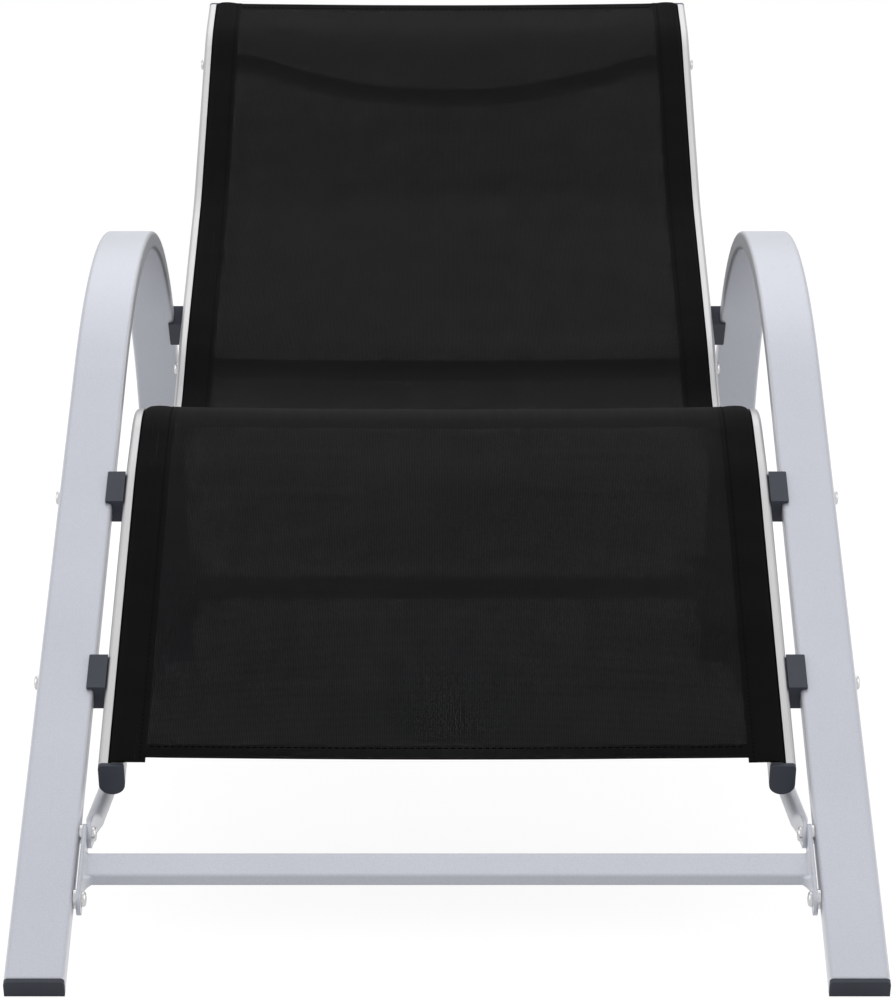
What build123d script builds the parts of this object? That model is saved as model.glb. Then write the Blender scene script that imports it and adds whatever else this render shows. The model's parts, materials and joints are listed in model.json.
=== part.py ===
from build123d import *

import os
from math import atan, atan2, cos, degrees, dist, radians, sin

# Garden sun lounger: two arched leg frames carry an S-shaped sling frame.
# Millimetres. X runs across, Y from the foot end (-) to the head end (+), Z up from the floor.
# Each side is drawn in its own side plane: y along the lounger from the front leg's tube end, z up.
# Right-hand pieces are modelled and mirrored to the left.

# Arches: one flat tube a side, bent into front leg, armrest and rear leg
OVERALL_WIDTH = 610.0
ARM_HEIGHT = 476.8
LEG_WIDTH = 42.0
LEG_THICKNESS = 16.0
LEG_WALL = 1.5
LEG_CORNER = 3.0
FRONT_SLOPE = 32.5
REAR_SLOPE = 58.0
FRONT_BEND_RADIUS = 600.0
REAR_BEND_RADIUS = 500.0

# Foot plugs
FOOT_FLANGE = 4.0
FOOT_SOLE_CUT = 2.0
FOOT_INSERT = 22.0
FOOT_INSERT_WALL = 2.0
PLUG_PLAY = 0.2

# Sling frame: straight runs of the rails' top line, with the slope of each and the bends between
CALF_SETBACK = 214.7
CALF_LENGTH = 336.0
UPPER_CALF_LENGTH = 100.3
THIGH_LENGTH = 455.5
LOWER_BACK_LENGTH = 130.1
LUMBAR_LENGTH = 276.0
UPPER_BACK_LENGTH = 280.0
HEAD_LENGTH = 81.0
UPPER_CALF_SLOPE = 25.5
THIGH_SLOPE = -8.4
LOWER_BACK_SLOPE = 32.8
LUMBAR_SLOPE = 26.7
UPPER_BACK_SLOPE = 36.5
HEAD_SLOPE = 21.8
CALF_RADIUS = 300.0
KNEE_RADIUS = 100.0
HIP_RADIUS = 180.0
BACK_RADIUS = 260.0
HEAD_RADIUS = 180.0

# Rail extrusion: D-section with a keder groove in its flat top
RAIL_WIDTH = 19.0
RAIL_DEPTH = 28.0
RAIL_WALL = 1.6
RAIL_CORNER = 3.0
RAIL_GAP = 9.0
RAIL_RISE = 1.5
RAIL_BOLT_DEPTH = 11.0
REAR_BOLT_DEPTH = 15.0
GROOVE_FROM_OUTER = 8.3
GROOVE_LIP = 1.2
GROOVE_WEB = 0.9
RAIL_PLUG_FLANGE = 3.5
RAIL_PLUG_INSERT = 18.0

# Sling and keder rods
FABRIC = 0.8
KEDER_DIAMETER = 4.0
KEDER_PLAY = 0.15
GROOVE_PLAY = 0.25
SLING_LIFT = 0.6
SLING_SAG = 2.5
HEM_WIDTH = 27.0
END_HEM_WIDTH = 14.0
END_HEM_SETBACK = 5.5

# Saddle blocks between legs and rails
SADDLE_LENGTH = 37.0
SADDLE_LIP = 5.0
SADDLE_LIP_THICKNESS = 2.0
SADDLE_PLAY = 0.5
SADDLE_EDGE = 0.8
LOWER_SADDLE_FROM_END = 99.5
UPPER_SADDLE_FROM_END = 317.5
REAR_SADDLE_DROP = 13.0

# Leg crossbars, their end plates and the tie rods
BAR_WIDTH = 23.5
BAR_THICKNESS = 10.0
BAR_WALL = 1.2
BAR_CORNER = 1.5
FRONT_BAR_FROM_END = 114.7
REAR_BAR_FROM_END = 91.3
PLATE_LENGTH = 84.0
PLATE_WIDTH = 20.0
PLATE_THICKNESS = 3.0
TIE_BOLT_FROM_BAR = 35.5
PLATE_BOLT_FROM_BAR = 30.0
TIE_DIAMETER = 13.0
TIE_WALL = 1.2
TIE_VENT = 4.0
TIE_TAB_WIDTH = 20.0
TIE_TAB_THICKNESS = 3.0
TIE_TAB_LENGTH = 18.0
TIE_TAPER_LENGTH = 26.0

# Crossbars of the sling frame
TUBE_DIAMETER = 19.0
TUBE_WALL = 1.5
TUBE_END_STRAIGHT = 25.0
TUBE_END_RADIUS = 40.0
HEAD_BAR_FROM_HEAD = 121.2
HEAD_BAR_BOW = 44.5
BACK_BAR_FROM_SADDLE = 95.7
BACK_BAR_BOW = 3.0
INSERT_LENGTH = 22.0

# Fasteners
BOLT_DIAMETER = 6.0
HOLE_PLAY = 0.4
HEAD_DIAMETER = 11.0
HEAD_HEIGHT = 3.4
HEAD_ROUND = 2.2
SOCKET_ACROSS = 4.0
SOCKET_DEPTH = 1.9
NUT_ACROSS = 10.0
NUT_HEIGHT = 5.0
NUT_COLLAR = 1.2
NUT_COLLAR_DIAMETER = 12.5
BOLT_TAIL = 2.0
RIVET_FLANGE = 2.5
RIVET_FLANGE_DIAMETER = 14.0
RIVET_SLEEVE_DIAMETER = 9.0
RIVET_SLEEVE = 13.0
THREAD_PLAY = 0.05

# Planes across the width that the pieces share
LEG_OUTER = OVERALL_WIDTH / 2
LEG_INNER = LEG_OUTER - LEG_WIDTH
LEG_MIDDLE = LEG_OUTER - LEG_WIDTH / 2
RAIL_OUTER = LEG_INNER - RAIL_GAP
RAIL_INNER = RAIL_OUTER - RAIL_WIDTH
RAIL_MIDDLE = RAIL_OUTER - RAIL_WIDTH / 2
PLATE_OUTER = LEG_INNER - RIVET_FLANGE
PLATE_INNER = PLATE_OUTER - PLATE_THICKNESS
TAB_INNER = PLATE_INNER - TIE_TAB_THICKNESS
HOLE_RADIUS = (BOLT_DIAMETER + HOLE_PLAY) / 2

# Heights within the rail section, measured down from its flat top
LOOP_RADIUS = KEDER_DIAMETER / 2 + KEDER_PLAY + FABRIC
GROOVE_RADIUS = LOOP_RADIUS + GROOVE_PLAY
GROOVE_DEPTH = GROOVE_LIP + GROOVE_RADIUS
GROOVE_MOUTH = 2 * FABRIC + 2 * GROOVE_PLAY
GROOVE_X = RAIL_OUTER - GROOVE_FROM_OUTER
BOLT_DROP = RAIL_BOLT_DEPTH - RAIL_RISE - LEG_THICKNESS / 2


def step(point, slope, length, drop=0.0):
    """Point reached in the side plane along a slope, then square down from it."""
    angle = radians(slope)
    y = point[0] + length * cos(angle) + drop * sin(angle)
    z = point[1] + length * sin(angle) - drop * cos(angle)
    return (y, z)


def side_plane(x):
    """Side plane at a given x: its local x is y, its local y is z."""
    return Plane(origin=(x, 0, 0), x_dir=(0, 1, 0), z_dir=(1, 0, 0))


def section_plane(path):
    """Plane square to a path's start: local x runs outwards, local y down from the path."""
    return Plane(origin=path @ 0, x_dir=(1, 0, 0), z_dir=path % 0)


def leg_plane(point, slope):
    """Plane at a point of a leg: local x outwards, local y up along the slope, local z square to it."""
    angle = radians(slope)
    return Plane(origin=(0, point[0], point[1]), x_dir=(1, 0, 0), z_dir=(0, -sin(angle), cos(angle)))


def rod(radius, x0, x1, point):
    """Cylinder along X between two planes, at a point of the side plane."""
    base = Pos(min(x0, x1), point[0], point[1]) * Rot(0, 90, 0)
    return base * Cylinder(radius, abs(x1 - x0), align=(Align.CENTER, Align.CENTER, Align.MIN))


def prism(sketch, x0, x1, point, slope):
    """Sketch raised along X between two planes, its local x along the slope at a point."""
    angle = radians(slope)
    y_axis = (0, cos(angle), sin(angle))
    plane = Plane(origin=(min(x0, x1), point[0], point[1]), x_dir=y_axis, z_dir=(1, 0, 0))
    return extrude(plane * sketch, abs(x1 - x0))


def dome_bolt(seat, tip, point):
    """Button-head bolt whose head sits on the plane at seat and whose shank ends at tip."""
    way = 1 if seat > tip else -1
    top = seat + way * HEAD_HEIGHT
    head = rod(HEAD_DIAMETER / 2, seat, top, point)
    rim = head.edges().filter_by(GeomType.CIRCLE).sort_by(Axis.X)[-1 if way > 0 else 0]
    head = fillet(rim, HEAD_ROUND)
    socket = RegularPolygon(SOCKET_ACROSS / 2, 6, major_radius=False)
    head -= prism(socket, top - way * SOCKET_DEPTH, top, point, 0)
    return head + rod(BOLT_DIAMETER / 2, seat, tip, point)


def flange_nut(seat, point):
    """Hex nut with a collar, on the inner side of a rail."""
    collar = rod(NUT_COLLAR_DIAMETER / 2, seat, seat - NUT_COLLAR, point)
    body = prism(RegularPolygon(NUT_ACROSS / 2, 6, major_radius=False), seat, seat - NUT_HEIGHT, point, 0)
    return collar + body - rod(BOLT_DIAMETER / 2 + THREAD_PLAY, seat, seat - NUT_HEIGHT, point)


# Side outline of the arch's middle line
BEND_IN = LEG_THICKNESS / 2
FRONT_RADIUS = FRONT_BEND_RADIUS - BEND_IN
REAR_RADIUS = REAR_BEND_RADIUS - BEND_IN
ARM_MIDDLE = ARM_HEIGHT - BEND_IN


def end_height(slope):
    """Height of a leg tube's end centre, from the flange below it and the flat cut on its sole."""
    angle = radians(slope)
    return FOOT_FLANGE * sin(angle) + BEND_IN * cos(angle) - FOOT_SOLE_CUT


FRONT_END = (0.0, end_height(FRONT_SLOPE))
front_top = ARM_MIDDLE - FRONT_RADIUS * (1 - cos(radians(FRONT_SLOPE)))
FRONT_STRAIGHT = (front_top - FRONT_END[1]) / sin(radians(FRONT_SLOPE))
FRONT_TOP = step(FRONT_END, FRONT_SLOPE, FRONT_STRAIGHT)
APEX_Y = FRONT_TOP[0] + FRONT_RADIUS * sin(radians(FRONT_SLOPE))
REAR_CENTRE = (APEX_Y, ARM_MIDDLE - REAR_RADIUS)
REAR_TOP = (
    APEX_Y + REAR_RADIUS * sin(radians(REAR_SLOPE)),
    REAR_CENTRE[1] + REAR_RADIUS * cos(radians(REAR_SLOPE)),
)
REAR_STRAIGHT = (REAR_TOP[1] - end_height(REAR_SLOPE)) / sin(radians(REAR_SLOPE))
REAR_END = step(REAR_TOP, -REAR_SLOPE, REAR_STRAIGHT)
arch_line = Wire([
    Line(FRONT_END, FRONT_TOP),
    CenterArc((APEX_Y, ARM_MIDDLE - FRONT_RADIUS), FRONT_RADIUS, 90 + FRONT_SLOPE, -FRONT_SLOPE),
    CenterArc(REAR_CENTRE, REAR_RADIUS, 90, -REAR_SLOPE),
    Line(REAR_TOP, REAR_END),
])

# Side outline of the rails' flat top: the calf run lies along the front leg
CALF_START = step(FRONT_END, FRONT_SLOPE, CALF_SETBACK, -(BEND_IN + RAIL_RISE))
rail_runs = [
    (FRONT_SLOPE, CALF_LENGTH),
    (UPPER_CALF_SLOPE, UPPER_CALF_LENGTH),
    (THIGH_SLOPE, THIGH_LENGTH),
    (LOWER_BACK_SLOPE, LOWER_BACK_LENGTH),
    (LUMBAR_SLOPE, LUMBAR_LENGTH),
    (UPPER_BACK_SLOPE, UPPER_BACK_LENGTH),
    (HEAD_SLOPE, HEAD_LENGTH),
]
rail_points = [CALF_START]
for run_slope, run_length in rail_runs:
    rail_points.append(step(rail_points[-1], run_slope, run_length))
rail_bends = [CALF_RADIUS, KNEE_RADIUS, HIP_RADIUS, BACK_RADIUS, BACK_RADIUS, HEAD_RADIUS]
rail_line = FilletPolyline(*rail_points, radius=rail_bends)


def rail_at(share, depth):
    """Point below the rails' top line at a share of its length, with the slope there."""
    top = rail_line @ share
    way = rail_line % share
    slope = degrees(atan2(way.Y, way.X))
    return step((top.X, top.Y), slope, 0, depth), slope


def rail_share_at_arch():
    """Share of the rails' length where the bolt line crosses the arch's rear bend."""
    low, high = 0.5, 1.0
    for _ in range(50):
        middle = (low + high) / 2
        point, _ = rail_at(middle, REAR_BOLT_DEPTH)
        reach = (point[0] - REAR_CENTRE[0]) ** 2 + (point[1] - REAR_CENTRE[1]) ** 2
        if reach < REAR_RADIUS**2:
            low = middle
        else:
            high = middle
    return low


# Where the saddle bolts, plate bolts and crossbar bolts go through
saddle_centres = {}
saddle_bolts = {}
saddle_slopes = {}
for name, distance in (("front_lower", LOWER_SADDLE_FROM_END), ("front_upper", UPPER_SADDLE_FROM_END)):
    saddle_centres[name] = step(FRONT_END, FRONT_SLOPE, CALF_SETBACK + distance)
    saddle_bolts[name] = step(saddle_centres[name], FRONT_SLOPE, 0, BOLT_DROP)
    saddle_slopes[name] = FRONT_SLOPE
arch_share = rail_share_at_arch()
saddle_bolts["rear"], _ = rail_at(arch_share, REAR_BOLT_DEPTH)
rear_angle = atan2(saddle_bolts["rear"][0] - REAR_CENTRE[0], saddle_bolts["rear"][1] - REAR_CENTRE[1])
rear_angle += REAR_SADDLE_DROP / REAR_RADIUS
saddle_slopes["rear"] = -degrees(rear_angle)
saddle_centres["rear"] = step(REAR_CENTRE, saddle_slopes["rear"], 0, -REAR_RADIUS)

bar_centres = {
    "front": step(FRONT_END, FRONT_SLOPE, FRONT_BAR_FROM_END),
    "rear": step(REAR_END, 180 - REAR_SLOPE, REAR_BAR_FROM_END),
}
bar_slopes = {"front": FRONT_SLOPE, "rear": 180 - REAR_SLOPE}
plate_bolts = {}
for name, centre in bar_centres.items():
    upper = step(centre, bar_slopes[name], TIE_BOLT_FROM_BAR)
    lower = step(centre, bar_slopes[name], -PLATE_BOLT_FROM_BAR)
    plate_bolts[name] = {"upper": upper, "lower": lower}

tube_shares = {
    "head": 1 - HEAD_BAR_FROM_HEAD / rail_line.length,
    "back": arch_share - BACK_BAR_FROM_SADDLE / rail_line.length,
}
tube_bolts = {}
tube_slopes = {}
for name, share in tube_shares.items():
    tube_bolts[name], tube_slopes[name] = rail_at(share, RAIL_BOLT_DEPTH)


def make_arch():
    path = side_plane(LEG_MIDDLE) * arch_line
    outer = RectangleRounded(LEG_WIDTH, LEG_THICKNESS, LEG_CORNER)
    bore = RectangleRounded(LEG_WIDTH - 2 * LEG_WALL, LEG_THICKNESS - 2 * LEG_WALL, LEG_CORNER - LEG_WALL)
    plane = section_plane(path)
    arch = sweep(plane * outer, path) - sweep(plane * bore, path)
    for point in saddle_bolts.values():
        arch -= rod(HOLE_RADIUS, LEG_INNER - LEG_WALL, LEG_OUTER + LEG_WALL, point)
    rivet_hole = RIVET_SLEEVE_DIAMETER / 2 + PLUG_PLAY
    for pair in plate_bolts.values():
        for point in pair.values():
            arch -= rod(rivet_hole, LEG_INNER - LEG_WALL, LEG_INNER + 2 * LEG_WALL, point)
    return arch


def make_foot(end, slope):
    """Push-in plug: a flange in line with the tube, a hollow insert, and a sole cut flat on the floor."""
    plane = leg_plane(end, slope)
    plane = Plane(origin=plane.from_local_coords((LEG_MIDDLE, 0, 0)), x_dir=(1, 0, 0), z_dir=-plane.y_dir)
    flange = extrude(plane * RectangleRounded(LEG_WIDTH, LEG_THICKNESS, LEG_CORNER), FOOT_FLANGE)
    inner_width = LEG_WIDTH - 2 * LEG_WALL - 2 * PLUG_PLAY
    inner_height = LEG_THICKNESS - 2 * LEG_WALL - 2 * PLUG_PLAY
    insert = RectangleRounded(inner_width, inner_height, LEG_CORNER - LEG_WALL)
    insert -= Rectangle(inner_width - 2 * FOOT_INSERT_WALL, inner_height - 2 * FOOT_INSERT_WALL)
    insert += Rectangle(FOOT_INSERT_WALL, inner_height)
    foot = flange + extrude(plane * insert, -FOOT_INSERT)
    below_floor = 2 * (LEG_WIDTH + FOOT_INSERT)
    floor = Box(below_floor, below_floor, below_floor, align=(Align.CENTER, Align.CENTER, Align.MAX))
    return foot - Pos(LEG_MIDDLE, end[0], 0) * floor


def rail_outline(inset=0.0):
    """D-section with its flat top at local y 0; the inset draws the same form further in."""
    half = RAIL_WIDTH / 2 - inset
    spring = RAIL_DEPTH - RAIL_WIDTH / 2
    shape = Pos(0, (inset + spring) / 2) * Rectangle(2 * half, spring - inset)
    top = shape.vertices().group_by(Axis.Y)[0]
    shape = fillet(top, max(RAIL_CORNER - inset, RAIL_CORNER / 2))
    return shape + Pos(0, spring) * Circle(half)


def rail_chamber(inset=0.0):
    """Hollow of the rail below the groove's floor."""
    floor = GROOVE_DEPTH + GROOVE_RADIUS + GROOVE_WEB + inset
    below = Pos(0, floor) * Rectangle(2 * RAIL_WIDTH, 2 * RAIL_DEPTH, align=(Align.CENTER, Align.MIN))
    return rail_outline(RAIL_WALL + inset) & below


def rail_groove():
    """Keder channel: a round bore with a mouth through the flat top."""
    bore = Pos(GROOVE_X - RAIL_MIDDLE, GROOVE_DEPTH) * Circle(GROOVE_RADIUS)
    return bore + Pos(GROOVE_X - RAIL_MIDDLE, 0) * Rectangle(GROOVE_MOUTH, 2 * GROOVE_DEPTH)


def make_rail():
    path = side_plane(RAIL_MIDDLE) * rail_line
    rail = sweep(section_plane(path) * (rail_outline() - rail_chamber() - rail_groove()), path)
    for point in saddle_bolts.values():
        rail -= rod(HOLE_RADIUS, RAIL_INNER - RAIL_WALL, RAIL_OUTER + RAIL_WALL, point)
    for point in tube_bolts.values():
        rail -= rod(HOLE_RADIUS, RAIL_INNER - RAIL_WALL, RAIL_OUTER + RAIL_WALL, point)
    return rail


def make_rail_plug(share, way):
    """End plug of a rail: a D-shaped flange and an insert in the hollow; way is +1 at the head."""
    path = side_plane(RAIL_MIDDLE) * rail_line
    plane = Plane(origin=path @ share, x_dir=(1, 0, 0), z_dir=path % share)
    flange = extrude(plane * rail_outline(), way * RAIL_PLUG_FLANGE)
    return flange + extrude(plane * rail_chamber(PLUG_PLAY), -way * RAIL_PLUG_INSERT)


def make_keder():
    path = side_plane(GROOVE_X) * rail_line
    return sweep(section_plane(path) * (Pos(0, GROOVE_DEPTH) * Circle(KEDER_DIAMETER / 2)), path)


def sling_layer(lift, half_width):
    """One thickness of fabric across the frame, hanging a little in the middle."""
    low = -lift
    high = low - FABRIC
    lower = ThreePointArc((-half_width, low), (0, low + SLING_SAG), (half_width, low))
    upper = ThreePointArc((half_width, high), (0, high + SLING_SAG), (-half_width, high))
    outline = Curve() + [
        lower,
        Line(lower @ 1, upper @ 0),
        upper,
        Line(upper @ 1, lower @ 0),
    ]
    return make_face(outline)


def make_sling():
    """Mesh panel with doubled side hems, and edge loops that go down the grooves round the keders."""
    edge = GROOVE_X + FABRIC
    hem_gap = Rectangle(2 * (edge - HEM_WIDTH), 4 * RAIL_DEPTH)
    section = sling_layer(SLING_LIFT + FABRIC, edge) + (sling_layer(SLING_LIFT, edge) - hem_gap)
    for way in (1, -1):
        tail = Rectangle(2 * FABRIC, GROOVE_DEPTH + SLING_LIFT + FABRIC, align=(Align.CENTER, Align.MIN))
        section += Pos(way * GROOVE_X, -SLING_LIFT - FABRIC) * tail
        section += Pos(way * GROOVE_X, GROOVE_DEPTH) * Circle(LOOP_RADIUS)
    for way in (1, -1):
        section -= Pos(way * GROOVE_X, GROOVE_DEPTH) * Circle(LOOP_RADIUS - FABRIC)
    path = side_plane(0) * rail_line
    sling = sweep(section_plane(path) * section, path)
    hem = sling_layer(SLING_LIFT, edge) & hem_gap
    for share, way in ((0, 1), (1, -1)):
        end = Plane(origin=path @ share, x_dir=(1, 0, 0), z_dir=path % share)
        sling -= extrude(end * hem_gap, way * END_HEM_SETBACK)
        sling += extrude(end.offset(way * END_HEM_SETBACK) * hem, way * END_HEM_WIDTH)
    return sling


def make_saddle(name):
    """Moulded block between leg and rail, with lips over the leg tube."""
    plane = leg_plane(saddle_centres[name], saddle_slopes[name])
    mouth = LEG_THICKNESS / 2 + SADDLE_PLAY
    half = mouth + SADDLE_LIP_THICKNESS
    block = Pos((RAIL_OUTER + LEG_INNER) / 2, 0, 0) * Box(RAIL_GAP, SADDLE_LENGTH, 2 * half)
    for way in (1, -1):
        lip = Box(RAIL_GAP / 2 + SADDLE_LIP, SADDLE_LENGTH, SADDLE_LIP_THICKNESS)
        middle = LEG_INNER + (SADDLE_LIP - RAIL_GAP / 2) / 2
        block += Pos(middle, 0, way * (mouth + SADDLE_LIP_THICKNESS / 2)) * lip
    block = chamfer(block.edges().filter_by(Axis.Z).group_by(Axis.X)[-1], SADDLE_EDGE)
    hole = rod(HOLE_RADIUS, RAIL_OUTER - RAIL_GAP, LEG_INNER + SADDLE_LIP, saddle_bolts[name])
    return plane * block - hole


def make_plate(name):
    """Round-ended strip that a leg crossbar is welded to."""
    strip = SlotOverall(PLATE_LENGTH, PLATE_WIDTH)
    plate = prism(strip, PLATE_INNER, PLATE_OUTER, bar_centres[name], bar_slopes[name])
    for point in plate_bolts[name].values():
        plate -= rod(HOLE_RADIUS, PLATE_INNER - PLATE_THICKNESS, PLATE_OUTER + PLATE_THICKNESS, point)
    return plate


def make_bar(name):
    """Flat tube between two end plates, its wide side along the legs' slope."""
    outer = RectangleRounded(BAR_WIDTH, BAR_THICKNESS, BAR_CORNER)
    bore = Rectangle(BAR_WIDTH - 2 * BAR_WALL, BAR_THICKNESS - 2 * BAR_WALL)
    return prism(outer - bore, -PLATE_INNER, PLATE_INNER, bar_centres[name], bar_slopes[name])


def make_tie_rod():
    """Tube with flattened, drilled ends, from the front plate's upper bolt to the rear plate's."""
    front = plate_bolts["front"]["upper"]
    rear = plate_bolts["rear"]["upper"]
    angle = atan2(rear[1] - front[1], rear[0] - front[0])
    middle = PLATE_INNER - TIE_TAB_THICKNESS / 2
    strip = Rectangle(TIE_TAB_LENGTH, TIE_TAB_WIDTH, align=(Align.MIN, Align.CENTER))
    tab = Circle(TIE_TAB_WIDTH / 2) + strip
    flat = Ellipse(TIE_TAB_THICKNESS / 2, TIE_TAB_WIDTH / 2)
    round_end = Circle(TIE_DIAMETER / 2)
    taper_end = TIE_TAB_LENGTH + TIE_TAPER_LENGTH
    body = None
    for point, way in ((front, 1), (rear, -1)):
        along = (0, way * cos(angle), way * sin(angle))
        line = Plane(origin=(middle, point[0], point[1]), x_dir=(1, 0, 0), z_dir=along)
        slope = degrees(angle) if way > 0 else degrees(angle) + 180
        end = prism(tab, TAB_INNER, PLATE_INNER, point, slope)
        end += loft([line.offset(TIE_TAB_LENGTH) * flat, line.offset(taper_end) * round_end])
        end -= rod(HOLE_RADIUS, TAB_INNER - TIE_TAB_THICKNESS, PLATE_OUTER, point)
        body = end if body is None else body + end
    run = dist(front, rear) - 2 * taper_end
    tube = line.offset(taper_end)
    body += extrude(tube * round_end, run)
    body -= extrude(tube * Circle(TIE_DIAMETER / 2 - TIE_WALL), run)
    vent = Cylinder(TIE_VENT / 2, TIE_DIAMETER, align=(Align.CENTER, Align.CENTER, Align.MAX))
    for distance in (TIE_DIAMETER, run - TIE_DIAMETER):
        body -= Location(tube.offset(distance).origin) * vent
    return body


def make_rivet_nut(point):
    """Flanged threaded insert set in the leg's inner wall."""
    flange = rod(RIVET_FLANGE_DIAMETER / 2, PLATE_OUTER, LEG_INNER, point)
    sleeve = rod(RIVET_SLEEVE_DIAMETER / 2, LEG_INNER, LEG_INNER + RIVET_SLEEVE, point)
    bore = rod(BOLT_DIAMETER / 2 + THREAD_PLAY, PLATE_OUTER, LEG_INNER + RIVET_SLEEVE, point)
    return flange + sleeve - bore


def make_plate_bolts(name):
    """Bolts of one end plate: the upper one also holds the tie rod's tab."""
    tip = LEG_INNER + RIVET_SLEEVE - BOLT_TAIL
    upper = dome_bolt(TAB_INNER, tip, plate_bolts[name]["upper"])
    lower = dome_bolt(PLATE_INNER, tip, plate_bolts[name]["lower"])
    return [upper, lower]


def make_tube(name, bow):
    """Round crossbar of the sling frame: straight ends, then bowed away from the sling."""
    half = RAIL_INNER - TUBE_END_STRAIGHT
    turn = 2 * atan(bow / half)
    turn_degrees = degrees(turn)
    middle_radius = half / sin(turn) - TUBE_END_RADIUS
    line = Wire([
        Line((-RAIL_INNER, 0), (-half, 0)),
        CenterArc((-half, TUBE_END_RADIUS), TUBE_END_RADIUS, -90, turn_degrees),
        CenterArc((0, bow - middle_radius), middle_radius, 90 + turn_degrees, -2 * turn_degrees),
        CenterArc((half, TUBE_END_RADIUS), TUBE_END_RADIUS, -90 - turn_degrees, turn_degrees),
        Line((half, 0), (RAIL_INNER, 0)),
    ])
    angle = radians(tube_slopes[name])
    y, z = tube_bolts[name]
    plane = Plane(origin=(0, y, z), x_dir=(1, 0, 0), z_dir=(0, cos(angle), sin(angle)))
    path = plane * line
    start = Plane(origin=path @ 0, z_dir=path % 0)
    ring = Circle(TUBE_DIAMETER / 2) - Circle(TUBE_DIAMETER / 2 - TUBE_WALL)
    return sweep(start * ring, path)


def make_tube_insert(name):
    """Threaded plug in the end of a round crossbar."""
    far = RAIL_INNER - INSERT_LENGTH
    plug = rod(TUBE_DIAMETER / 2 - TUBE_WALL - PLUG_PLAY / 2, far, RAIL_INNER, tube_bolts[name])
    return plug - rod(BOLT_DIAMETER / 2 + THREAD_PLAY, far, RAIL_INNER, tube_bolts[name])


def make_saddle_bolt(point):
    return dome_bolt(LEG_OUTER, RAIL_INNER - NUT_HEIGHT - BOLT_TAIL, point)


def left(shape):
    """Mirror image of a right-hand piece."""
    return mirror(shape, about=Plane.YZ)


# Every piece by its node name; a list is a group of separate solids
pieces = {}


def add_pair(name, shape):
    pieces["right_" + name] = shape
    pieces["left_" + name] = left(shape)


def add_group(name, shapes):
    pieces[name] = list(shapes) + [left(shape) for shape in shapes]


add_pair("arch", make_arch())
add_pair("front_foot", make_foot(FRONT_END, FRONT_SLOPE))
add_pair("rear_foot", make_foot(REAR_END, 180 - REAR_SLOPE))
add_pair("rail", make_rail())
add_pair("rail_front_plug", make_rail_plug(0, -1))
add_pair("rail_head_plug", make_rail_plug(1, 1))
add_pair("keder", make_keder())
add_pair("tie_rod", make_tie_rod())
for saddle in saddle_bolts:
    add_pair(saddle + "_saddle", make_saddle(saddle))
bolts = [make_saddle_bolt(point) for point in saddle_bolts.values()]
nuts = [flange_nut(RAIL_INNER, point) for point in saddle_bolts.values()]
pieces["right_saddle_bolts"] = bolts
pieces["left_saddle_bolts"] = [left(bolt) for bolt in bolts]
pieces["right_saddle_nuts"] = nuts
pieces["left_saddle_nuts"] = [left(nut) for nut in nuts]
for bar in bar_centres:
    pieces[bar + "_crossbar"] = make_bar(bar)
    add_pair(bar + "_plate", make_plate(bar))
    add_group(bar + "_rivet_nuts", [make_rivet_nut(point) for point in plate_bolts[bar].values()])
    add_group(bar + "_plate_bolts", make_plate_bolts(bar))
for tube, bow in (("head", HEAD_BAR_BOW), ("back", BACK_BAR_BOW)):
    pieces[tube + "_crossbar"] = make_tube(tube, bow)
    add_group(tube + "_crossbar_inserts", [make_tube_insert(tube)])
    tip = RAIL_INNER - INSERT_LENGTH + BOLT_TAIL
    add_group(tube + "_crossbar_bolts", [dome_bolt(RAIL_OUTER, tip, tube_bolts[tube])])
pieces["sling"] = make_sling()

# The origin goes to the middle of the lounger's length, on the floor
boxes = []
for shape in pieces.values():
    for solid in shape if isinstance(shape, list) else [shape]:
        boxes.append(solid.bounding_box())
shift = -(min(box.min.Y for box in boxes) + max(box.max.Y for box in boxes)) / 2

os.makedirs("parts", exist_ok=True)
for name, shape in pieces.items():
    solids = shape if isinstance(shape, list) else [shape]
    moved = [Pos(0, shift, 0) * solid for solid in solids]
    export_step(moved[0] if len(moved) == 1 else Compound(children=moved), "parts/" + name + ".step")

print("nodes", len(pieces))
print("shift along Y", round(shift, 3))
print("rail length", round(rail_line.length, 1))
print("rear saddle from the rails' front end", round(arch_share * rail_line.length, 1))
places = {"saddle bolt": saddle_bolts, "crossbar": bar_centres, "crossbar bolt": tube_bolts}
for kind, points in places.items():
    for name, point in points.items():
        print(name, kind, "at y", round(point[0] + shift, 1), "z", round(point[1], 1))
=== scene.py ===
import json
from math import ceil, cos, pi, radians, sin, tan

import bpy
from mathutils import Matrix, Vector, noise


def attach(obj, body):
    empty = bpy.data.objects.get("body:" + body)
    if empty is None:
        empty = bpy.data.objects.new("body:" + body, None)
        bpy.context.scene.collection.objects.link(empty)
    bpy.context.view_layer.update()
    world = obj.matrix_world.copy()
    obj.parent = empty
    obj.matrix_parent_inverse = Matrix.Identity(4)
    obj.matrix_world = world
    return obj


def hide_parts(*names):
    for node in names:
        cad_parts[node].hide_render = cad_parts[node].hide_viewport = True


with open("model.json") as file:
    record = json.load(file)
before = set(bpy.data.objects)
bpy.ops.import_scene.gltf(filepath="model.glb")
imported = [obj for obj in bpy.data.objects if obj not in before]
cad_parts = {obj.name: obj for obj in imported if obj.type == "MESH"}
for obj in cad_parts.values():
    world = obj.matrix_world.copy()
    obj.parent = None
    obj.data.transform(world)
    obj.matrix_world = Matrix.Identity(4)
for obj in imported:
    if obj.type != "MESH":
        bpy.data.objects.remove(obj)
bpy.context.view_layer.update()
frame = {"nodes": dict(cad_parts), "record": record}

NODES = frame["nodes"]
SCENE = bpy.context.scene

# Metres, in the frame of the CAD model. The side plane's y starts at the front leg's tube end.
SIDE_SHIFT = -0.831343
FRONT_END_Z = 0.0068964
FRONT_SLOPE = 32.5
LEG_THICKNESS = 0.016

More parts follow.
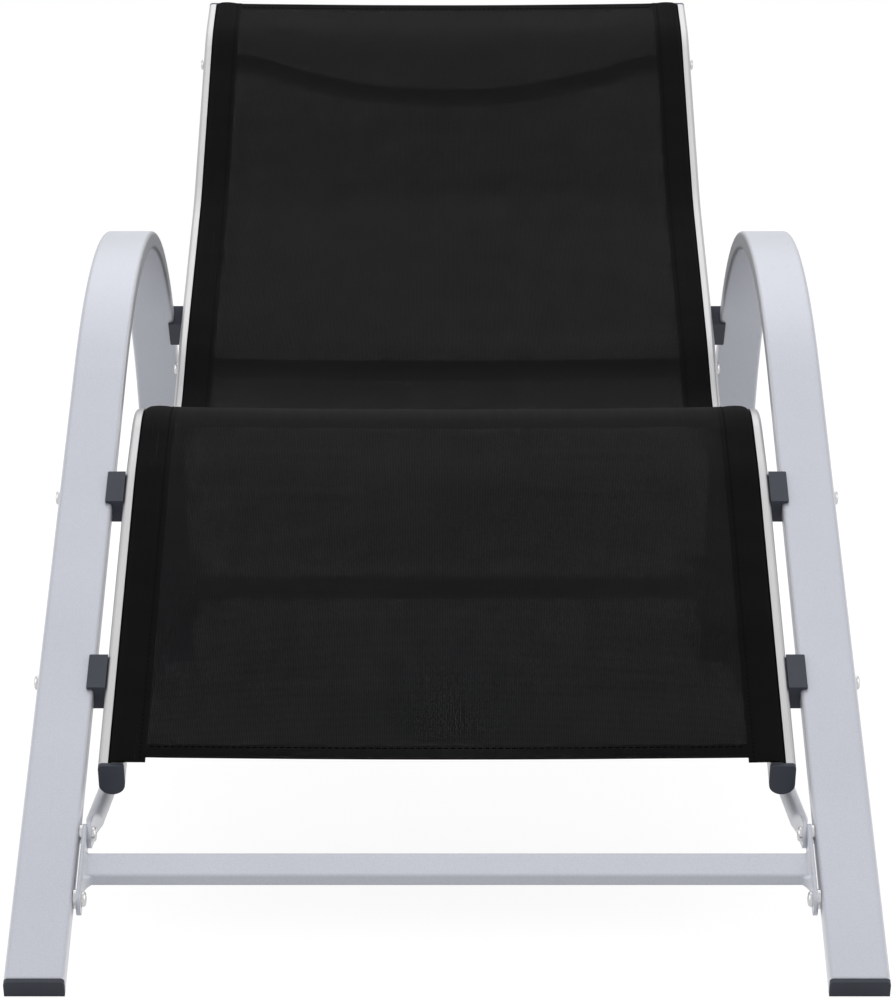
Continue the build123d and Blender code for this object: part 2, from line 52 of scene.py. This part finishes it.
# The rails' top line: straight runs (slope in degrees, length) and the radii of the bends between
CALF_SETBACK = 0.2147
RAIL_RISE = 0.0015
RAIL_RUNS = (
    (32.5, 0.3360), (25.5, 0.1003), (-8.4, 0.4555), (32.8, 0.1301),
    (26.7, 0.276), (36.5, 0.280), (21.8, 0.081),
)
RAIL_BENDS = (0.300, 0.100, 0.180, 0.260, 0.260, 0.180)

# Sling, in the section square to the rails
GROOVE_X = 0.2457
KEDER_DROP = 0.0044
LOOP_RADIUS = 0.00255
EDGE_X = 0.2465
HEM_X = 0.2195
SAG = 0.0025
TOP_LIFT = 0.0018
UNDER_LIFT = 0.0010
END_SETBACK = 0.0055
HEAD_SETBACK = 0.0012
END_HEM = 0.014
ROW_STEP = 0.006
HEM_BLUR = 0.0006
SEAM_X = 0.2235
SEAM_FROM_END = 0.011
STITCH = 0.005
STITCH_RADIUS = 0.00038
STITCH_LIFT = 0.00012

# Stretch of the rails' line over the knee, where a painted sheen makes the mesh a little paler
KNEE_FROM = 0.404
KNEE_TO = 0.466
WEAVE_PITCH = 0.00125

# Leg crossbars: centre in the frame's y and z, slope of the wide side
BARS = {"front": (-0.73461, 0.06853, 32.5), "rear": (0.58001, 0.08306, 122.0)}
BAR_WIDTH = 0.0235
BAR_THICKNESS = 0.010
PLATE_INNER = 0.2575


# Side plane of the sling frame

def rail_segments():
    """Straight and curved stretches of the rails' top line: length, slope at its start, curvature."""
    slopes = [radians(slope) for slope, _ in RAIL_RUNS]
    turns = [b - a for a, b in zip(slopes, slopes[1:])]
    cuts = [radius * tan(abs(turn) / 2) for radius, turn in zip(RAIL_BENDS, turns)]
    segments = []
    for i, (_, length) in enumerate(RAIL_RUNS):
        straight = length - (cuts[i - 1] if i else 0) - (cuts[i] if i < len(cuts) else 0)
        segments.append((straight, slopes[i], 0.0))
        if i < len(turns):
            way = 1 if turns[i] > 0 else -1
            segments.append((RAIL_BENDS[i] * abs(turns[i]), slopes[i], way / RAIL_BENDS[i]))
    return segments


SEGMENTS = rail_segments()
RAIL_LENGTH = sum(length for length, _, _ in SEGMENTS)
ANGLE = radians(FRONT_SLOPE)
LIFT = LEG_THICKNESS / 2 + RAIL_RISE
RAIL_START = (
    SIDE_SHIFT + CALF_SETBACK * cos(ANGLE) - LIFT * sin(ANGLE),
    FRONT_END_Z + CALF_SETBACK * sin(ANGLE) + LIFT * cos(ANGLE),
)


def rail_place(s):
    """Point and slope of the rails' top line at a distance from its front end."""
    y, z = RAIL_START
    for index, (length, slope, bend) in enumerate(SEGMENTS):
        part = s if index == len(SEGMENTS) - 1 else min(s, length)
        end = slope + bend * part
        if bend:
            y += (sin(end) - sin(slope)) / bend
            z += (cos(slope) - cos(end)) / bend
        else:
            y += part * cos(slope)
            z += part * sin(slope)
        s -= part
        if s <= 0:
            return y, z, end
    return y, z, end


def on_sling(x, height, s):
    """Point across the sling at x, a height above the rails' top line, a distance along it."""
    y, z, slope = rail_place(s)
    return Vector((x, y - height * sin(slope), z + height * cos(slope)))


def sag(x):
    """How far the fabric hangs below the straight line between the rails."""
    return SAG * (1 - (x / EDGE_X) ** 2)


def new_piece(name, verts, faces, smooth=True):
    """Mesh object from points and faces that rides on the lounger's one body."""
    mesh = bpy.data.meshes.new(name)
    mesh.from_pydata([tuple(v) for v in verts], [], faces)
    mesh.update()
    mesh.polygons.foreach_set("use_smooth", [smooth] * len(mesh.polygons))
    obj = bpy.data.objects.new(name, mesh)
    SCENE.collection.objects.link(obj)
    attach(obj, "root")
    return obj


# Node helpers

def new_material(name):
    """Material with its principled shader, and short ways to add and link nodes."""
    mat = bpy.data.materials.new(name)
    mat.use_nodes = True
    tree = mat.node_tree
    shader = tree.nodes["Principled BSDF"]

    def link(value, socket):
        if isinstance(value, bpy.types.NodeSocket):
            tree.links.new(value, socket)
        else:
            socket.default_value = value

    def add(kind, *inputs, out=0, **settings):
        node = tree.nodes.new("ShaderNode" + kind)
        for key, value in settings.items():
            setattr(node, key, value)
        for index, value in enumerate(inputs):
            if value is not None:
                link(value, node.inputs[index])
        return node.outputs[out]

    return mat, shader, add, link


def calc(add, operation, *inputs):
    return add("Math", *inputs, operation=operation)


def mix_colour(add, share, first, second):
    node_out = add("Mix", data_type="RGBA", out=2)
    node = node_out.node
    for value, socket in ((share, node.inputs[0]), (first, node.inputs[6]), (second, node.inputs[7])):
        if isinstance(value, bpy.types.NodeSocket):
            node.id_data.links.new(value, socket)
        else:
            socket.default_value = value
    return node_out


def grain(add, scale, detail=2.0, stretch=None):
    """Noise over the object's own coordinates, at so many cells a metre."""
    place = add("TexCoord", out=3)
    if stretch:
        place = add("VectorMath", place, stretch, operation="MULTIPLY")
    return add("TexNoise", place, None, scale, detail, 0.55, noise_dimensions="3D")


def ramp(add, value, low, high, to_low=0.0, to_high=1.0):
    return add("MapRange", value, low, high, to_low, to_high)


def edge_mask(add, radius):
    """About 1 along outer edges, from how far a rounded normal turns away from the true one."""
    rounded = add("Bevel", radius, samples=4)
    true = add("NewGeometry", out=1)
    cosine = add("VectorMath", rounded, true, operation="DOT_PRODUCT", out=1)
    return ramp(add, cosine, 0.995, 0.80)


def silver_coat():
    """Silver powder coat: fine flake, orange peel, painted light that makes the narrow sideways-facing
    faces paler, polished edges, faint scuffs.
    """
    mat, shader, add, link = new_material("silver_coat")
    flake = grain(add, 1500.0, 1.0)
    cloud = grain(add, 7.0, 3.0)
    scuff = ramp(add, grain(add, 160.0, 4.0, (1.0, 0.25, 0.25)), 0.66, 0.74)
    edge = edge_mask(add, 0.0014)
    worn = calc(add, "MULTIPLY", edge, ramp(add, grain(add, 55.0, 4.0), 0.40, 0.65))
    tone = calc(add, "MULTIPLY_ADD", ramp(add, flake, 0.35, 0.65), 0.55, calc(add, "MULTIPLY", cloud, 0.45))
    colour = mix_colour(add, tone, (0.437, 0.451, 0.507, 1), (0.567, 0.581, 0.642, 1))
    # Painted light: faces that look along x, the tubes' narrow sides, are mixed toward near white as if
    # more light fell on them.
    side = calc(add, "ABSOLUTE", add("SeparateXYZ", add("NewGeometry", out=1)))
    painted_side_light = calc(add, "MULTIPLY", ramp(add, side, 0.50, 0.95), 0.45)
    colour = mix_colour(add, painted_side_light, colour, (0.90, 0.90, 0.91, 1))
    colour = mix_colour(add, calc(add, "MULTIPLY", worn, 0.55), colour, (0.74, 0.75, 0.79, 1))
    colour = mix_colour(add, calc(add, "MULTIPLY", scuff, 0.10), colour, (0.36, 0.37, 0.40, 1))
    link(colour, shader.inputs["Base Color"])
    shader.inputs["Metallic"].default_value = 0.45
    rough = calc(add, "MULTIPLY_ADD", flake, 0.16, 0.34)
    link(calc(add, "MULTIPLY_ADD", scuff, 0.08, rough), shader.inputs["Roughness"])
    peel = calc(add, "MULTIPLY_ADD", flake, 0.35, grain(add, 520.0, 1.0))
    bump = add("Bump", 0.10, 0.0004)
    link(peel, bump.node.inputs["Height"])
    link(add("Bevel", 0.0035, samples=6), bump.node.inputs["Normal"])
    link(bump, shader.inputs["Normal"])
    return mat


def rail_alloy():
    """Extruded aluminium: fine lines along the length, soft sheen."""
    mat, shader, add, link = new_material("rail_alloy")
    lines = grain(add, 1.0, 3.0, (2600.0, 4.0, 4.0))
    fine = grain(add, 1.0, 2.0, (7000.0, 9.0, 9.0))
    cloud = grain(add, 11.0, 3.0)
    drawn = calc(add, "MULTIPLY_ADD", lines, 0.6, calc(add, "MULTIPLY", fine, 0.4))
    tone = calc(add, "MULTIPLY_ADD", drawn, 0.7, calc(add, "MULTIPLY", cloud, 0.3))
    colour = mix_colour(add, ramp(add, tone, 0.3, 0.7), (0.42, 0.42, 0.425, 1), (0.52, 0.52, 0.525, 1))
    link(colour, shader.inputs["Base Color"])
    shader.inputs["Metallic"].default_value = 0.7
    link(calc(add, "MULTIPLY_ADD", drawn, 0.22, 0.26), shader.inputs["Roughness"])
    bump = add("Bump", 0.12, 0.0002)
    link(drawn, bump.node.inputs["Height"])
    link(add("Bevel", 0.0005, samples=4), bump.node.inputs["Normal"])
    link(bump, shader.inputs["Normal"])
    return mat


def slate_plastic():
    """Moulded plastic with a spark-eroded grain and edges rubbed paler."""
    mat, shader, add, link = new_material("slate_plastic")
    pebble = grain(add, 1900.0, 2.0)
    cloud = grain(add, 40.0, 3.0)
    edge = edge_mask(add, 0.0010)
    colour = mix_colour(add, cloud, (0.034, 0.038, 0.052, 1), (0.051, 0.056, 0.076, 1))
    colour = mix_colour(add, calc(add, "MULTIPLY", edge, 0.25), colour, (0.095, 0.100, 0.115, 1))
    link(colour, shader.inputs["Base Color"])
    link(calc(add, "MULTIPLY_ADD", pebble, 0.22, 0.42), shader.inputs["Roughness"])
    shader.inputs["Specular IOR Level"].default_value = 0.25
    bump = add("Bump", 0.16, 0.0003)
    link(pebble, bump.node.inputs["Height"])
    link(add("Bevel", 0.0006, samples=4), bump.node.inputs["Normal"])
    link(bump, shader.inputs["Normal"])
    return mat


def bright_steel():
    """Zinc-plated steel: bright, faintly turned, duller in patches."""
    mat, shader, add, link = new_material("bright_steel")
    turned = grain(add, 1.0, 2.0, (5200.0, 700.0, 700.0))
    patch = grain(add, 240.0, 3.0)
    colour = mix_colour(add, patch, (0.42, 0.42, 0.43, 1), (0.66, 0.66, 0.66, 1))
    link(colour, shader.inputs["Base Color"])
    shader.inputs["Metallic"].default_value = 1.0
    link(calc(add, "MULTIPLY_ADD", patch, 0.24, 0.12), shader.inputs["Roughness"])
    bump = add("Bump", 0.08, 0.0002)
    link(turned, bump.node.inputs["Height"])
    link(add("Bevel", 0.0004, samples=4), bump.node.inputs["Normal"])
    link(bump, shader.inputs["Normal"])
    return mat


def keder_cord():
    """Smooth black polymer rod."""
    mat, shader, add, link = new_material("keder_cord")
    colour = mix_colour(add, grain(add, 300.0), (0.010, 0.010, 0.011, 1), (0.022, 0.022, 0.024, 1))
    link(colour, shader.inputs["Base Color"])
    link(calc(add, "MULTIPLY_ADD", grain(add, 900.0), 0.2, 0.4), shader.inputs["Roughness"])
    return mat


def black_mesh():
    """Open plain weave of coated yarn: ribs both ways, yarns of slightly different tone, small holes."""
    mat, shader, add, link = new_material("black_mesh")
    flat = add("UVMap", uv_map="flat")
    cells = add("VectorMath", flat, (1 / WEAVE_PITCH, 1 / WEAVE_PITCH, 1.0), operation="MULTIPLY")
    split = add("SeparateXYZ", cells).node
    across, along = split.outputs[0], split.outputs[1]
    wave_a = calc(add, "COSINE", calc(add, "MULTIPLY", across, pi))
    wave_b = calc(add, "COSINE", calc(add, "MULTIPLY", along, pi))
    rib_a = calc(add, "ABSOLUTE", wave_a)
    rib_b = calc(add, "ABSOLUTE", wave_b)
    over = calc(add, "MULTIPLY", wave_a, wave_b)
    warp = calc(add, "MULTIPLY", rib_a, calc(add, "MULTIPLY_ADD", over, 0.25, 0.75))
    weft = calc(add, "MULTIPLY", rib_b, calc(add, "MULTIPLY_ADD", over, -0.25, 0.75))
    height = calc(add, "MAXIMUM", warp, weft)
    warp_tone = add("TexWhiteNoise", None, calc(add, "ROUND", across), noise_dimensions="1D")
    weft_cell = calc(add, "ROUND", calc(add, "ADD", along, 0.37))
    weft_tone = add("TexWhiteNoise", None, weft_cell, noise_dimensions="1D")
    yarn = calc(add, "MULTIPLY_ADD", warp_tone, 0.5, calc(add, "MULTIPLY", weft_tone, 0.5))
    drift_place = add("VectorMath", flat, (5.0, 26.0, 1.0), operation="MULTIPLY")
    drift = add("TexNoise", drift_place, None, 1.0, 3.0, 0.5)
    tone = calc(add, "MULTIPLY_ADD", height, 0.25, calc(add, "MULTIPLY", drift, 0.6))
    tone = calc(add, "MULTIPLY_ADD", yarn, 0.20, tone)
    shade = ramp(add, tone, 0.25, 0.95)
    colour = mix_colour(add, shade, (0.0030, 0.0030, 0.0032, 1), (0.0110, 0.0110, 0.0117, 1))
    side = calc(add, "ABSOLUTE", add("SeparateXYZ", add("TexCoord", out=3)))
    run = add("SeparateXYZ", flat, out=1)
    # Painted sheen: over the knee bend the mesh is mixed toward a paler tone.
    rise = ramp(add, run, KNEE_FROM - 0.008, KNEE_FROM)
    painted_knee_sheen = calc(add, "MULTIPLY", rise, ramp(add, run, KNEE_TO + 0.020, KNEE_TO))
    colour = mix_colour(add, calc(add, "MULTIPLY", painted_knee_sheen, 0.34), colour, (0.0170, 0.0170, 0.0178, 1))
    front_end = END_SETBACK + END_HEM
    head_end = RAIL_LENGTH - HEAD_SETBACK - END_HEM
    side_hem = ramp(add, side, HEM_X - HEM_BLUR, HEM_X)
    hem = calc(add, "MAXIMUM", side_hem, ramp(add, run, front_end + HEM_BLUR, front_end))
    hem = calc(add, "MAXIMUM", hem, ramp(add, run, head_end - HEM_BLUR, head_end))
    # The panel keeps a paler tone than the hems, partly the yarn's own and partly painted light standing in
    # for light seen through its holes; the hems, which let none through, are mixed 35% toward black.
    colour = mix_colour(add, calc(add, "MULTIPLY", hem, 0.35), colour, (0.0, 0.0, 0.0, 1))
    link(colour, shader.inputs["Base Color"])
    link(calc(add, "MULTIPLY_ADD", yarn, 0.14, 0.74), shader.inputs["Roughness"])
    shader.inputs["Specular IOR Level"].default_value = 0.035
    hole = calc(add, "LESS_THAN", calc(add, "MAXIMUM", rib_a, rib_b), 0.1214)
    link(calc(add, "SUBTRACT", 1.0, hole), shader.inputs["Alpha"])
    bump = add("Bump", 0.3, 0.0004)
    link(height, bump.node.inputs["Height"])
    link(bump, shader.inputs["Normal"])
    return mat


def sewing_thread():
    """Bonded polyester thread, about as dark as the mesh."""
    mat, shader, add, link = new_material("sewing_thread")
    colour = mix_colour(add, grain(add, 2600.0), (0.0012, 0.0012, 0.0014, 1), (0.0050, 0.0050, 0.0055, 1))
    link(colour, shader.inputs["Base Color"])
    link(calc(add, "MULTIPLY_ADD", grain(add, 3500.0), 0.15, 0.75), shader.inputs["Roughness"])
    shader.inputs["Specular IOR Level"].default_value = 0.035
    return mat


MATERIALS = {
    "silver_coat": silver_coat(),
    "rail_alloy": rail_alloy(),
    "slate_plastic": slate_plastic(),
    "bright_steel": bright_steel(),
    "black_mesh": black_mesh(),
    "keder_cord": keder_cord(),
    "sewing_thread": sewing_thread(),
}

for subpart in frame["record"]["subparts"]:
    mesh = NODES[subpart["node"]].data
    mesh.materials.clear()
    mesh.materials.append(MATERIALS[subpart["material_slot"]])


# Sling: one cloth, from one hem's lower layer round a keder, across, and round the other keder

def hem_section():
    """Right-hand side of the sling's section, outwards over the hem, round the keder and back under it."""
    points = [
        (0.2204, 0.00192), (0.2222, 0.00180), (0.2235, 0.00172), (0.2250, 0.00185), (0.2275, 0.00222),
        (0.2310, 0.00255), (0.2345, 0.00268), (0.2380, 0.00250), (0.2410, 0.00205), (0.2434, 0.00125),
        (0.2450, 0.00020), (0.2459, -0.00090), (0.2461, -0.00170),
    ]
    for step in range(13):
        angle = radians(80 - 340 * step / 12)
        points.append((GROOVE_X + LOOP_RADIUS * cos(angle), LOOP_RADIUS * sin(angle) - KEDER_DROP))
    points += [(0.2453, -0.00160), (0.2452, -0.00050), (0.2446, 0.00040), (0.2432, 0.00085)]
    points += [(x, UNDER_LIFT) for x in (0.2400, 0.2350, 0.2290, 0.2235, HEM_X)]
    return [(x, height - (sag(x) if x < 0.2400 else 0.0)) for x, height in points]


PANEL_STEPS = 60
PANEL = [HEM_X * (2 * i / PANEL_STEPS - 1) for i in range(PANEL_STEPS + 1)]
RIGHT = hem_section()
LEFT = [(-x, height) for x, height in reversed(RIGHT)]
SECTION = LEFT + [(x, TOP_LIFT - sag(x)) for x in PANEL] + RIGHT
FIRST_PANEL = len(LEFT)
LAST_PANEL = FIRST_PANEL + PANEL_STEPS

# Faint creases across the calf, as distances from the rails' front end: place, height, half width
CREASES = ((0.085, 0.00035, 0.004), (0.312, 0.00040, 0.005), (0.362, 0.00035, 0.004))


def pucker(x, s):
    """Small ripples of tensioned cloth: short ones at the hem's seam, long ones in the panel."""
    side = 1 if x > 0 else -1
    from_seam = abs(x) - HEM_X
    near = max(0.0, 1 - abs(from_seam) / 0.016)
    ripple = noise.noise(Vector((s * 55, side * 3.1, 0.4))) * 0.00042 * near
    pull = noise.noise(Vector((s * 14 + abs(x) * 9, side * 7.7, 2.3)))
    reach = max(0.0, min(1.0, (abs(x) - 0.05) / 0.15)) if abs(x) < HEM_X else near
    wave = pull * 0.00055 * reach
    crease = 0.0
    for place, height, half in CREASES:
        bent = s + 0.004 * noise.noise(Vector((x * 9, place * 40, 5.1)))
        crease += height * max(0.0, 1 - ((bent - place) / half) ** 2) * (1 - (x / EDGE_X) ** 2)
    return ripple + wave + crease


def sling_cloth():
    ends = []
    for setback in (END_SETBACK, HEAD_SETBACK):
        end = [setback * part for part in (0.0, 0.35, 0.7, 1.0)]
        ends.append(end + [setback + run for run in (0.0015, 0.004, 0.007, 0.010, 0.0125, END_HEM, 0.0155)])
    front, head = ends
    inner = RAIL_LENGTH - front[-1] - head[-1]
    count = ceil(inner / ROW_STEP)
    rows = front + [front[-1] + inner * i / count for i in range(1, count)]
    rows += [RAIL_LENGTH - s for s in reversed(head)]
    widths = [0.0]
    for a, b in zip(SECTION, SECTION[1:]):
        widths.append(widths[-1] + (Vector(a) - Vector(b)).length)
    verts = []
    flat = []
    index = {}

    def put(key, column, s, height, run):
        x = SECTION[column][0]
        index[key] = len(verts)
        verts.append(on_sling(x, height, s))
        flat.append((widths[column], run))

    for r, s in enumerate(rows):
        for column, (x, height) in enumerate(SECTION):
            inside = FIRST_PANEL < column < LAST_PANEL
            if inside and not END_SETBACK - 1e-9 <= s <= RAIL_LENGTH - HEAD_SETBACK + 1e-9:
                continue
            shown = height > -0.0005
            put((r, column), column, s, height + (pucker(x, s) if shown else 0.0), s)
    faces = []
    for r in range(len(rows) - 1):
        for column in range(len(SECTION) - 1):
            keys = [(r, column), (r, column + 1), (r + 1, column + 1), (r + 1, column)]
            if all(key in index for key in keys):
                if FIRST_PANEL <= column < LAST_PANEL and (r < 3 or r >= len(rows) - 4):
                    continue
                faces.append([index[key] for key in keys])
    # Each end of the panel is folded under into a hem
    fold = [(-0.0004, -0.0001), (-0.0006, -0.0004), (-0.0004, -0.0007), (0.0, -0.00085)]
    fold += [(part * END_HEM, -0.0009) for part in (0.12, 0.3, 0.55, 0.8, 1.0)]
    for edge_row, way in ((3, 1), (len(rows) - 4, -1)):
        last = [(edge_row, column) for column in range(FIRST_PANEL, LAST_PANEL + 1)]
        for step, (run, drop) in enumerate(fold):
            keys = []
            for column in range(FIRST_PANEL, LAST_PANEL + 1):
                x, height = SECTION[column]
                s = rows[edge_row] + way * run
                key = ("fold", way, step, column)
                ripple = pucker(x, rows[edge_row] + way * abs(run))
                put(key, column, s, height + drop + ripple, rows[edge_row] - way * abs(run))
                keys.append(key)
            for a in range(len(keys) - 1):
                quad = [index[last[a]], index[keys[a]], index[keys[a + 1]], index[last[a + 1]]]
                faces.append(quad if way < 0 else quad[::-1])
            last = keys
    obj = new_piece("sling_cloth", verts, faces)
    layer = obj.data.uv_layers.new(name="flat")
    for loop in obj.data.loops:
        layer.data[loop.index].uv = flat[loop.vertex_index]
    obj.data.materials.append(MATERIALS["black_mesh"])
    return obj, widths[-1]


def stitches(name, path, count, lift):
    """Row of thread stitches along a path, each dipping into the cloth at both ends."""
    verts = []
    faces = []
    rings = ((0.02, 0.25, -0.9), (0.14, 0.8, 0.0), (0.5, 1.0, 0.25), (0.70, 0.8, 0.0), (0.80, 0.25, -0.9))
    radius = STITCH_RADIUS
    for stitch in range(count):
        base = len(verts)
        for part, size, rise in rings:
            here = (stitch + part) / count
            point, tangent, normal = path(here, lift)
            side = tangent.cross(normal)
            for corner in range(6):
                turn = 2 * pi * corner / 6
                offset = side * cos(turn) + normal * sin(turn)
                verts.append(point + normal * rise * radius + offset * radius * size)
        for ring in range(len(rings) - 1):
            for corner in range(6):
                a = base + ring * 6 + corner
                b = base + ring * 6 + (corner + 1) % 6
                faces.append((a, b, b + 6, a + 6))
        faces.append(tuple(base + corner for corner in reversed(range(6))))
        faces.append(tuple(base + (len(rings) - 1) * 6 + corner for corner in range(6)))
    obj = new_piece(name, verts, faces)
    obj.data.materials.append(MATERIALS["sewing_thread"])
    return obj


def seam_height(x, s):
    """Top of the cloth at a place, for what is sewn on it."""
    points = SECTION
    for (x0, h0), (x1, h1) in zip(points[FIRST_PANEL:], points[FIRST_PANEL + 1:]):
        if x0 <= abs(x) <= x1:
            return h0 + (h1 - h0) * (abs(x) - x0) / (x1 - x0) + pucker(x, s)
    return TOP_LIFT


def side_path(x):
    def path(share, lift):
        s = 0.004 + share * (RAIL_LENGTH - 0.008)
        _, _, slope = rail_place(s)
        normal = Vector((0, -sin(slope), cos(slope)))
        return on_sling(x, seam_height(x, s) + lift, s), Vector((0, cos(slope), sin(slope))), normal
    return path


def end_path(s):
    def path(share, lift):
        x = (2 * share - 1) * (HEM_X - 0.002)
        _, _, slope = rail_place(s)
        normal = Vector((0, -sin(slope), cos(slope)))
        return on_sling(x, TOP_LIFT - sag(x) + pucker(x, s) + lift, s), Vector((1, 0, 0)), normal
    return path


sling, cut_width = sling_cloth()
side_count = int(RAIL_LENGTH / STITCH)
end_count = int(2 * HEM_X / STITCH)
for side, label in ((1, "right"), (-1, "left")):
    stitches(label + "_hem_seam", side_path(side * SEAM_X), side_count, STITCH_LIFT)
end_seams = {"front": END_SETBACK + SEAM_FROM_END, "head": RAIL_LENGTH - HEAD_SETBACK - SEAM_FROM_END}
for label, place in end_seams.items():
    stitches(label + "_hem_seam", end_path(place), end_count, STITCH_LIFT)
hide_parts("sling")


# Weld beads between the leg crossbars and their end plates

def weld_bead(name, centre, side):
    """Rippled fillet weld round the end of a flat tube, on the inner face of its plate."""
    y, z, slope = centre
    along = Vector((0, cos(radians(slope)), sin(radians(slope))))
    square = Vector((0, -sin(radians(slope)), cos(radians(slope))))
    corner = 0.0015
    outline = []
    for way_a, way_b, start in ((1, 1, 0), (-1, 1, 90), (-1, -1, 180), (1, -1, 270)):
        for step in range(5):
            turn = radians(start + 90 * step / 4)
            out = Vector((cos(turn), sin(turn)))
            middle = Vector((way_a * (BAR_WIDTH / 2 - corner), way_b * (BAR_THICKNESS / 2 - corner)))
            outline.append((middle + out * corner, out))
    dense = []
    for (p, n), (q, m) in zip(outline, outline[1:] + outline[:1]):
        count = max(1, ceil((q - p).length / 0.0006))
        for step in range(count):
            share = step / count
            dense.append((p.lerp(q, share), n.lerp(m, share).normalized()))
    verts = []
    faces = []
    rings = 7
    run = 0.0
    for number, (p, n) in enumerate(dense):
        run += (dense[(number + 1) % len(dense)][0] - p).length
        ripple = 0.5 + 0.5 * cos(2 * pi * run / 0.0021)
        leg = 0.0026 + 0.0040 * max(0.0, -n.x) ** 2
        size = leg + 0.0003 * ripple + 0.0003 * noise.noise(Vector((run * 90, y * 10, side)))
        for ring in range(rings):
            turn = radians(90 * ring / (rings - 1))
            out = p + n * (size * cos(turn) ** 2.6)
            lift = size * sin(turn) ** 2.6
            point = Vector((side * (PLATE_INNER - lift), y, z)) + along * out.x + square * out.y
            verts.append(point)
    total = len(dense)
    for number in range(total):
        for ring in range(rings - 1):
            a = number * rings + ring
            b = ((number + 1) % total) * rings + ring
            faces.append((a, b, b + 1, a + 1) if side < 0 else (a + 1, b + 1, b, a))
    obj = new_piece(name, verts, faces)
    obj.data.materials.append(MATERIALS["silver_coat"])
    return obj


for bar, centre in BARS.items():
    for side, label in ((1, "right"), (-1, "left")):
        weld_bead(bar + "_" + label + "_weld", centre, side)


# Camera: the photograph's view, low and square on from the foot end

camera_data = bpy.data.cameras.new("camera")
camera = bpy.data.objects.new("camera", camera_data)
SCENE.collection.objects.link(camera)
camera.location = (0.0, -3.59334, 0.6777)
camera.rotation_euler = (radians(90 - 6.87), 0.0, 0.0)
camera_data.lens = 147.9
camera_data.sensor_width = 36.0
camera_data.clip_end = 200.0
SCENE.camera = camera


# Floor, light and white surroundings

def seen_rays(tree):
    """1 for rays that show a surface to the camera, straight, mirrored or through the holes."""
    rays = tree.nodes.new("ShaderNodeLightPath")
    seen = tree.nodes.new("ShaderNodeMath")
    seen.operation = "MAXIMUM"
    also = tree.nodes.new("ShaderNodeMath")
    also.operation = "MAXIMUM"
    tree.links.new(rays.outputs["Is Camera Ray"], seen.inputs[0])
    tree.links.new(rays.outputs["Is Glossy Ray"], also.inputs[0])
    tree.links.new(rays.outputs["Is Transmission Ray"], also.inputs[1])
    tree.links.new(also.outputs[0], seen.inputs[1])
    return seen


def new_floor():
    half = 40.0
    level = -0.0003
    corners = [(-half, -half, level), (half, -half, level), (half, half, level), (-half, half, level)]
    mesh = bpy.data.meshes.new("floor")
    mesh.from_pydata(corners, [], [(0, 1, 2, 3)])
    obj = bpy.data.objects.new("floor", mesh)
    SCENE.collection.objects.link(obj)
    mat = bpy.data.materials.new("studio_floor")
    mat.use_nodes = True
    tree = mat.node_tree
    tree.nodes.clear()
    seen = seen_rays(tree)
    matte = tree.nodes.new("ShaderNodeBsdfDiffuse")
    matte.inputs["Color"].default_value = (0.62, 0.62, 0.62, 1)
    shade = tree.nodes.new("ShaderNodeBsdfDiffuse")
    shade.inputs["Color"].default_value = (0.22, 0.22, 0.22, 1)
    glow = tree.nodes.new("ShaderNodeEmission")
    glow.inputs["Color"].default_value = (1, 1, 1, 1)
    glow.inputs["Strength"].default_value = 0.89
    white = tree.nodes.new("ShaderNodeAddShader")
    tree.links.new(shade.outputs[0], white.inputs[0])
    tree.links.new(glow.outputs[0], white.inputs[1])
    mix = tree.nodes.new("ShaderNodeMixShader")
    tree.links.new(seen.outputs[0], mix.inputs[0])
    tree.links.new(matte.outputs[0], mix.inputs[1])
    tree.links.new(white.outputs[0], mix.inputs[2])
    out = tree.nodes.new("ShaderNodeOutputMaterial")
    tree.links.new(mix.outputs[0], out.inputs["Surface"])
    mesh.materials.append(mat)


def new_world():
    world = bpy.data.worlds.new("studio")
    SCENE.world = world
    world.use_nodes = True
    tree = world.node_tree
    tree.nodes.clear()
    seen = seen_rays(tree)
    level = tree.nodes.new("ShaderNodeMapRange")
    tree.links.new(seen.outputs[0], level.inputs[0])
    level.inputs[3].default_value = 0.56
    level.inputs[4].default_value = 1.0
    sky = tree.nodes.new("ShaderNodeBackground")
    sky.inputs["Color"].default_value = (1, 1, 1, 1)
    tree.links.new(level.outputs[0], sky.inputs["Strength"])
    out = tree.nodes.new("ShaderNodeOutputWorld")
    tree.links.new(sky.outputs[0], out.inputs["Surface"])


def new_lamp(name, place, target, size, power):
    data = bpy.data.lights.new(name, "AREA")
    data.shape = "DISK"
    data.size = size
    data.energy = power
    lamp = bpy.data.objects.new(name, data)
    SCENE.collection.objects.link(lamp)
    lamp.location = place
    lamp.rotation_euler = (Vector(target) - Vector(place)).to_track_quat("-Z", "Y").to_euler()


new_floor()
new_world()
new_lamp("front_left", (-2.4, -3.2, 3.4), (0, 0, 0.3), 2.6, 7.0)
new_lamp("front_right", (2.4, -3.2, 3.4), (0, 0, 0.3), 2.6, 7.0)
new_lamp("left", (-3.0, -1.0, 1.5), (0, 0, 0.3), 3.4, 29.0)
new_lamp("right", (3.0, -1.0, 1.5), (0, 0, 0.3), 3.4, 29.0)
new_lamp("overhead", (0.0, 0.6, 4.2), (0, 0.1, 0.3), 3.2, 12.0)
new_lamp("back", (0.0, 3.2, 3.6), (0, 0.2, 0.4), 3.0, 25.0)

SCENE.view_settings.view_transform = "Standard"
